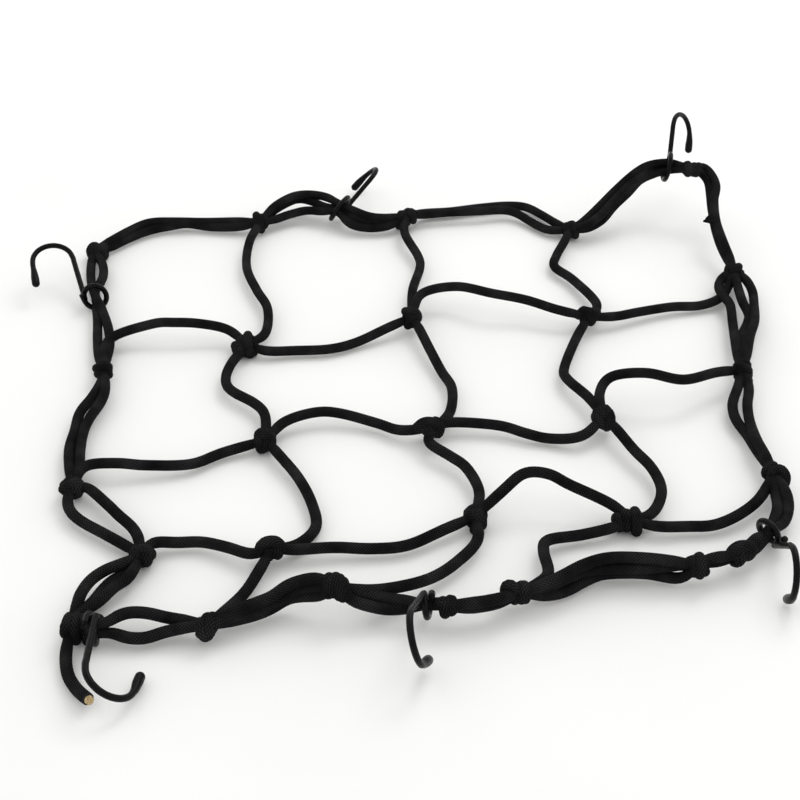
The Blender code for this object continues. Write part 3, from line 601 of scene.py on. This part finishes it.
# %% The braided sheath
def braided_sheath():
    """Black braid on each bar's map: painted sheen on the tops, painted shade in the grooves."""
    material, tree, shader = new_material(
        "braided_sheath", colour=(0.008, 0.008, 0.008), roughness=0.8, Specular_IOR_Level=0.03)
    calc = calculator(tree)
    chart = tree.nodes.new("ShaderNodeUVMap")
    chart.uv_map = CHART
    parts = tree.nodes.new("ShaderNodeSeparateXYZ")
    tree.links.new(chart.outputs["UV"], parts.inputs[0])
    along = calc("DIVIDE", parts.outputs["X"], YARN_ALONG)
    around = calc("MULTIPLY", parts.outputs["Y"], YARNS_ROUND)
    left, right = calc("ADD", around, along), calc("SUBTRACT", around, along)
    across_left, across_right = calc("FRACT", left), calc("FRACT", right)
    crossing = calc("ADD", calc("FLOOR", left), calc("FLOOR", right))
    left_on_top = calc("FLOORED_MODULO", crossing, 2)
    right_on_top = calc("SUBTRACT", 1, left_on_top)

    def wave(across, halves):
        """Half waves over the width of a yarn."""
        return calc("SINE", calc("MULTIPLY", across, halves * pi))

    def on_top(of_left, of_right):
        """The value that belongs to the yarn on top."""
        return calc("ADD", calc("MULTIPLY", of_left, left_on_top),
                    calc("MULTIPLY", of_right, right_on_top))

    hump_left, hump_right = wave(across_left, 1), wave(across_right, 1)
    body = on_top(hump_left, hump_right)
    crown = on_top(hump_right, hump_left)
    threads = on_top(wave(across_left, 2 * THREADS_IN_YARN), wave(across_right, 2 * THREADS_IN_YARN))
    fluff = noise(tree, FLUFF_CELLS, FLUFF_DETAIL)
    height = calc("POWER", body, YARN_BACK)
    for layer, share in ((crown, CROWN_SHARE), (threads, THREAD_SHARE), (fluff, FLUFF_SHARE)):
        height = calc("ADD", height, calc("MULTIPLY", layer, share))
    add_bump(tree, shader, height, BRAID_RELIEF)
    wear = noise(tree, WEAR_CELLS, WEAR_DETAIL)
    # the colour is a painted sheen on the yarns' tops and painted shade in the grooves, from the height,
    # plus random wear
    tone = calc("ADD", calc("MULTIPLY", height, SHEEN_AND_SHADE_OF_HEIGHT), calc("MULTIPLY", wear, TONE_OF_WEAR))
    ramp_to_socket(tree, shader, "Base Color", tone, SHEATH_SHADE_SHEEN_AND_WEAR)
    return material


cord_material = braided_sheath()
print("sheath:", len(cord_material.node_tree.nodes), "nodes")

# %% [markdown]
# ## Laying the cords
#
# Every cord keeps its thickness, and thins over the last few millimetres where the knot grips it.
# The tables give its line. The first and last stretch run into the knot's middle, where the turns
# of the knot hide them. Where a cord meets the table it spreads flat, so no corner lies below it.
# Gravity and a soft body could find such lines too, but not these ones, so they are laid as listed.

# %% The middle of each knot
KNOT_REST = cos(pi / 8)    # a resting knot's middle is this share of its radius above the table
centres = {}
for knot, x, y, height, radius, *_ in KNOTS:
    centres[knot] = Vector((x, y, height or radius * KNOT_REST))
print("highest knot:", max(centre.z for centre in centres.values()), "mm up")

# %% How a cord is held
CORD_STEP = 1.8            # spacing of the rings along a cord
CORD_SIDES = 18
GRIP_REACH = 5.0           # a knot squeezes a cord this far from its middle,
GRIP_EASE = 6.0            # the cord is full again this much further on,
GRIP_LOSS = 0.12           # and the knot takes this share of its radius
EYE_REACH = 5.0            # a cord nearer than this to an eye's middle is squeezed in the eye,
EYE_EASE = 6.0             # is full again this much further on,
EYE_SQUEEZE = 0.85         # and keeps this share of its radius


def line_between(start, end, places):
    """The line of a strand from knot to knot through its places."""
    way = (end - start).to_2d()
    left = Vector((-way.y, way.x)).normalized()
    points = [start]
    for share, beside, height in places:
        plan = start.to_2d() + way * (share / 100) + left * beside
        points.append(Vector((plan.x, plan.y, height)))
    return smooth_line([*points, end])


def cord_bar(line, grips=(True, True)):
    """A cord along a line, thinner at the ends that a knot grips and in a hook's eye."""
    line, along = even_steps(line, CORD_STEP)
    line = soften(line, times=2)
    radii = np.full(len(line), CORD_RADIUS)
    for gripped, away in zip(grips, (along, along[-1] - along)):
        if gripped:
            radii *= 1 - GRIP_LOSS * np.clip(1 - (away - GRIP_REACH) / GRIP_EASE, 0, 1)
    for _, eye, *_ in HOOKS:
        away = np.linalg.norm(line - np.array(eye), axis=1)
        if away.min() < EYE_REACH:
            hold = np.clip((EYE_REACH + EYE_EASE - away) / EYE_EASE, 0, 1)
            radii *= 1 - (1 - EYE_SQUEEZE) * hold
    return bar(line, along, radii, CORD_SIDES)


print("new helpers: line_between, cord_bar")

# %% Lay the cords
def cords_of(rows):
    """A bar for each row of a table of cords."""
    return [cord_bar(line_between(centres[a], centres[b], places)) for _, a, b, places in rows]


mesh_piece = make_piece("mesh_cords", cords_of(STRANDS), cord_material)
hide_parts("net")
make_piece("edge_cords", cords_of(EDGE), cord_material)

# %% [markdown]
# ## The knots
#
# A knot could be one line tied through itself, but its inside is hidden, and a wrong crossing
# would show at once. So each is laid up from what can be seen. Inside is a short coil of the cord
# round the bundle, whose ends dive to the middle. It fills the knot and shows as turns from every
# side. The laps of the table lie over it.

# %% A tight cord
KNOT_STEP = 1.2            # spacing of the rings along a cord in a knot


def tight_cord(places):
    """A cord through these places, squeezed as in a knot."""
    line, along = even_steps(np.array([p[:] for p in places]), KNOT_STEP)
    return bar(line, along, np.full(len(line), KNOT_CORD_RADIUS), CORD_SIDES)


print("new helper: tight_cord")

# %% The coil inside a knot
COIL_ROUNDS = 2.0          # turns of the cord in a coil
COIL_SHARE = 0.85          # a coil's share of the knot's size, since the laps lie over it
COIL_INSET = 0.8           # its outer turns stay this many cord radii inside the knot's ends
COIL_SLANT = 0.9           # millimetres by which a turn slants along the axis
COIL_PARTS = 40            # parts in which its line is drawn
DIVE = 0.12                # the share of a coil over which each end comes out of the middle,
DIVE_START = 0.25          # and the share of its radius at which the end starts


def coil(centre, radius, half, direction, turn):
    """One cord wound round a knot's axis, both ends diving into the middle."""
    reach = COIL_SHARE * radius - KNOT_CORD_RADIUS
    spread = COIL_SHARE * half - COIL_INSET * KNOT_CORD_RADIUS
    lay = Matrix.Rotation(radians(direction), 3, "Z")
    places = []
    for i in range(COIL_PARTS + 1):
        t = i / COIL_PARTS
        angle = radians(turn) + 2 * pi * COIL_ROUNDS * t
        dive = sin(min(1.0, min(t, 1 - t) / DIVE) * pi / 2)
        out = reach * (DIVE_START + (1 - DIVE_START) * dive)
        beside = spread * (2 * t - 1) + COIL_SLANT * sin(angle)
        places.append(centre + lay @ Vector((beside, out * cos(angle), out * sin(angle))))
    return tight_cord(places)


coils = [coil(centres[knot], *shape) for knot, _, _, _, *shape in KNOTS]
print(len(coils), "coils")

# %% The laps over it
LAP_PARTS = 32             # parts in which a lap's turn is drawn
LAP_READ = 0.4             # millimetres between the points of its front line


def lap(centre, depth, near, places):
    """A turn of the cord: out along its places on the near side, back on the far side."""
    view = (Matrix.Rotation(radians(VIEW_TURN), 3, "Z")
            @ Matrix.Rotation(radians(90 - VIEW_DOWN), 3, "X"))
    front, along = even_steps(smooth_line([(right, up, 0) for right, up in places]), LAP_READ)
    turn = []
    for i in range(LAP_PARTS + 1):
        angle = 2 * pi * i / LAP_PARTS
        reached = (1 - cos(angle)) / 2 * along[-1]
        right, up = (np.interp(reached, along, front[:, axis]) for axis in (0, 1))
        turn.append(centre + view @ Vector((right, up, near + depth * sin(angle))))
    return tight_cord(turn)


laps = [lap(centres[knot], *shape) for knot, *shape in LAPS]
make_piece("knots", coils + laps, cord_material)

# %% The free end
tail_line = smooth_line([centres[TAIL_KNOT], *TAIL])
tail_bar = cord_bar(tail_line, grips=(True, False))
make_piece("free_end", [tail_bar], cord_material)

# %% [markdown]
# ## The hooks
#
# A hook is bent from one wire: an eye round the cords, a straight shank, a half round bend and a
# tip. It is dipped in soft black plastic, which makes it 2.9 mm thick, and the tip a second time,
# so that it ends in a drop of 4.4 mm that can't scratch what it is hooked on. The wire follows a
# smooth line through a few places, and the same helper as for the cords gives it its body, because
# the radius can then swell towards the tip.

# %% The hook coating
COATING_RELIEF = 0.00012
COATING_TONES = ((0.3, (0.0004, 0.0004, 0.0005)), (0.7, (0.0040, 0.0040, 0.0046)))
COATING_ROUGHNESS = ((0.35, (0.22, 0.22, 0.22)), (0.65, (0.42, 0.42, 0.42)))


def hook_coating():
    """Dipped black plastic: a soft gloss, a little mottled, with a faint orange peel."""
    material, tree, shader = new_material(
        "hook_coating", colour=(0.003, 0.003, 0.004), roughness=0.32, Specular_IOR_Level=0.10)
    add_bump(tree, shader, noise(tree, cells=900, detail=2), COATING_RELIEF, strength=0.5)
    mottle = noise(tree, cells=400, detail=3)
    ramp_to_socket(tree, shader, "Base Color", mottle, COATING_TONES)
    ramp_to_socket(tree, shader, "Roughness", mottle, COATING_ROUGHNESS)
    return material


coating = hook_coating()
print("coating:", coating.name)

# %% Sizes of the hooks
WIRE_RADIUS = 1.45
WIRE_STEP = 0.8            # spacing of the rings along the wire
WIRE_SIDES = 16
WIRE_GAP = 0.45            # air between the two ends of an eye, where they pass each other
WIRE_END = 5.0             # the wire runs on this far past its eye
HOOK_LENGTH = 42.0         # from the middle of the eye to the outside of the bend
BEND_RADIUS = 11.0         # from the middle of the bend to the middle of the wire
EYE_PARTS = 12             # parts in which an eye's curve is drawn
SHANK_PLACES = (7.0, 16.0)   # the line's places on the shank, from the eye on,
BEND_LEAD = 3.0            # one more this far before the bend,
BEND_PLACES = 8            # and these round it
TIP_RADIUS = 2.2
TIP_LENGTH = 13.0          # the part that is dipped twice,
TIP_SWELL = 7.0            # and the length over which it swells
TIP_FLAT = 0.02            # keeps the last ring from closing to a point
print("hook wire", 2 * WIRE_RADIUS, "mm, tip", 2 * TIP_RADIUS, "mm, length", HOOK_LENGTH, "mm")

# %% The line of a hook
def hook_line(eye, cords, azimuth, elevation, turn, leg, lean, side, radii):
    """The wire's line from its end, round the eye, up the shank and round the bend to the tip."""
    azimuth, elevation, turn, lean = (radians(d) for d in (azimuth, elevation, turn, lean))
    shank = Vector((cos(elevation) * cos(azimuth), cos(elevation) * sin(azimuth), sin(elevation)))
    level = Vector((-sin(azimuth), cos(azimuth), 0))
    opening = level * cos(turn) + shank.cross(level) * sin(turn)
    eye, cords = Vector(eye), Vector(cords).normalized()
    up = (shank - cords * shank.dot(cords)).normalized()
    across = cords.cross(up) * side
    pitch = WIRE_RADIUS + WIRE_GAP / 2
    if shank.dot(cords) < 0:
        pitch = -pitch
    along_shank, across_shank = radii
    points = [eye + across * across_shank + up * length - cords * pitch
              for length in (WIRE_END, WIRE_END / 2)]
    for i in range(EYE_PARTS + 1):
        angle = 2 * pi * i / EYE_PARTS
        points.append(eye + across * across_shank * cos(angle) - up * along_shank * sin(angle)
                      + cords * pitch * (2 * i / EYE_PARTS - 1))
    start = eye + across * across_shank + cords * pitch
    centre = HOOK_LENGTH - WIRE_RADIUS - BEND_RADIUS
    points += [start + shank * length for length in (*SHANK_PLACES, centre - BEND_LEAD)]
    for i in range(BEND_PLACES):
        angle = -pi / 2 + (pi - lean) * i / (BEND_PLACES - 1)
        points.append(start + shank * (centre + BEND_RADIUS * cos(angle))
                      + opening * BEND_RADIUS * (1 + sin(angle)))
    back = opening * sin(lean) - shank * cos(lean)
    end = points[-1]
    points += [end + back * leg * share for share in (1 / 3, 2 / 3, 1)]
    return smooth_line(points)


print("new helper: hook_line")

# %% Bend the hooks
def wire_bar(line):
    """A coated wire along a line, with its last part swollen to a drop."""
    line, along = even_steps(line, WIRE_STEP)
    left = along[-1] - along
    swell = np.clip((TIP_LENGTH - left) / TIP_SWELL, 0, 1)
    radii = WIRE_RADIUS + (TIP_RADIUS - WIRE_RADIUS) * swell
    radii *= np.sqrt(np.clip(1 - (1 - left / TIP_RADIUS).clip(0) ** 2, TIP_FLAT, 1))
    return bar(line, along, radii, WIRE_SIDES)


for hook, *shape in HOOKS:
    piece = make_piece(hook + "_dipped", [wire_bar(hook_line(*shape))], coating)
    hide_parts(hook)

# %% [markdown]
# ## The cut end and a trimmed stub
#
# The free end is cut square, and there the core shows: some thirty pale rubber threads packed
# side by side. Cells of random shape, each a little different in tone and dark where they meet,
# look like their ends, and take no faces. On the right side a short pointed stub is left where a
# cord was trimmed and its end melted shut. Three short bars, thick at the cord and running
# together towards the point, give its wedge.

# %% The rubber core
THREAD_CELLS = 1600        # ends of rubber threads in a metre
SEAM = 6                   # the higher, the thinner the dark seams between them
END_TONE, END_FALL = 0.6, 0.5   # tone in the middle of a thread, and its change to the side
CORE_TONES = (
    (0.05, (0.22, 0.12, 0.04)),
    (0.45, (0.66, 0.46, 0.20)),
    (0.9, (0.86, 0.70, 0.42)),
)
CORE_RELIEF = 0.00025


def rubber():
    """Cut rubber threads, packed side by side."""
    material, tree, shader = new_material(
        "rubber_core", colour=(0.70, 0.50, 0.24), roughness=0.55, Specular_IOR_Level=0.25)
    place = tree.nodes.new("ShaderNodeTexCoord")
    ends, seams = (tree.nodes.new("ShaderNodeTexVoronoi") for _ in range(2))
    seams.feature = "DISTANCE_TO_EDGE"
    for cells in (ends, seams):
        cells.inputs["Scale"].default_value = THREAD_CELLS
        tree.links.new(place.outputs["Object"], cells.inputs["Vector"])
    calc = calculator(tree)
    seam = calc("MINIMUM", calc("MULTIPLY", seams.outputs["Distance"], SEAM), 1)
    end = calc("ADD", END_TONE, calc("MULTIPLY", ends.outputs["Distance"], END_FALL))
    tone = calc("MULTIPLY", seam, end)
    ramp_to_socket(tree, shader, "Base Color", tone, CORE_TONES)
    add_bump(tree, shader, tone, CORE_RELIEF)
    return material


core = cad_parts["tail_core"]
core.data.materials.clear()
core.data.materials.append(rubber())
print("core:", round(1000 * core.dimensions.x, 1), "mm across")

# %% The trimmed stub
STUB_TIP = 0.3             # radius of the stub's point
STUB_STEP = 0.5
STUB_RISE = Vector((0, 0, 0.5))   # its middle bows up by this much
STUB_BARS = (
    # root x y z, tip x y z, radius at the root
    ((196.4, 127.2, 20.6), (188.0, 129.2, 21.0), 2.3),
    ((195.9, 130.6, 21.2), (188.5, 130.0, 21.1), 2.3),
    ((195.6, 133.4, 21.6), (190.2, 131.9, 21.5), 2.0),
)
stub_bars = []
for root, tip, radius in STUB_BARS:
    middle = (Vector(root) + Vector(tip)) / 2 + STUB_RISE
    line, along = even_steps(smooth_line([root, middle, tip]), STUB_STEP)
    stub_bars.append(bar(line, along, np.linspace(radius, STUB_TIP, len(line)), CORD_SIDES))
make_piece("trimmed_stub", stub_bars, cord_material)

# %% [markdown]
# ## The table and the light
#
# The net lies on a plain white table, here one wide plane. An even white surrounding gives soft
# light, and one round lamp behind and to the right lets the shadows fall a little towards the
# viewer and to the left.

# %% The table
TABLE_SIZE = 6
TABLE_TONES = ((0.3, (0.918, 0.918, 0.908)), (0.7, (0.940, 0.940, 0.936)))
TABLE_RELIEF = 0.00006


def table_surface():
    """Matt white board: faint clouds of tone and a fine grain."""
    material, tree, shader = new_material(
        "white_table", colour=(0.93, 0.93, 0.925), roughness=0.8, Specular_IOR_Level=0.2)
    ramp_to_socket(tree, shader, "Base Color", noise(tree, cells=9, detail=4), TABLE_TONES)
    add_bump(tree, shader, noise(tree, cells=900, detail=4), TABLE_RELIEF, strength=0.4)
    return material


bpy.ops.mesh.primitive_plane_add(size=TABLE_SIZE)
table = bpy.context.object
table.name = "table"
table.data.materials.append(table_surface())
print("table:", TABLE_SIZE, "m wide")

# %% The light
SURROUNDING = (1, 1, 0.99)
SURROUNDING_STRENGTH = 0.965
LAMP_PLACE = Vector((0.7, 0.8, 1.5))
LAMP_SIZE = 0.9
LAMP_POWER = 6
world = bpy.data.worlds.new("studio")
world.use_nodes = True
background = world.node_tree.nodes["Background"]
background.inputs["Color"].default_value = (*SURROUNDING, 1)
background.inputs["Strength"].default_value = SURROUNDING_STRENGTH
bpy.context.scene.world = world

lamp_data = bpy.data.lights.new("window", "AREA")
lamp_data.shape = "DISK"
lamp_data.size = LAMP_SIZE
lamp_data.energy = LAMP_POWER
lamp = bpy.data.objects.new("window", lamp_data)
lamp.location = LAMP_PLACE
lamp.rotation_euler = (-LAMP_PLACE).to_track_quat("-Z", "Y").to_euler()
bpy.context.scene.collection.objects.link(lamp)
bpy.context.scene.view_settings.view_transform = "Standard"
print("lamp:", round(LAMP_PLACE.length, 2), "m from the net")

# %% [markdown]
# ## The camera
#
# The photograph was taken from about three quarters of a metre away, looking down on the net and a
# little from one side. The cord's width near and far in the picture gave the distance and the
# angle, and the lens follows from the net's size in the frame.

# %% The camera
DISTANCE = 0.7674
SENSOR_WIDTH = 36
LENS = 68.9
camera = bpy.data.objects.new("camera", bpy.data.cameras.new("camera"))
camera.data.sensor_width = SENSOR_WIDTH
camera.data.lens = LENS
back = Vector((0, -cos(radians(VIEW_DOWN)), sin(radians(VIEW_DOWN)))) * DISTANCE
camera.matrix_world = (Matrix.Translation(-MIDDLE * MM) @ Matrix.Rotation(radians(VIEW_TURN), 4, "Z")
                       @ Matrix.Translation(back) @ Matrix.Rotation(radians(90 - VIEW_DOWN), 4, "X"))
bpy.context.scene.collection.objects.link(camera)
bpy.context.scene.camera = camera
print("camera:", DISTANCE, "m away, lens", LENS, "mm")
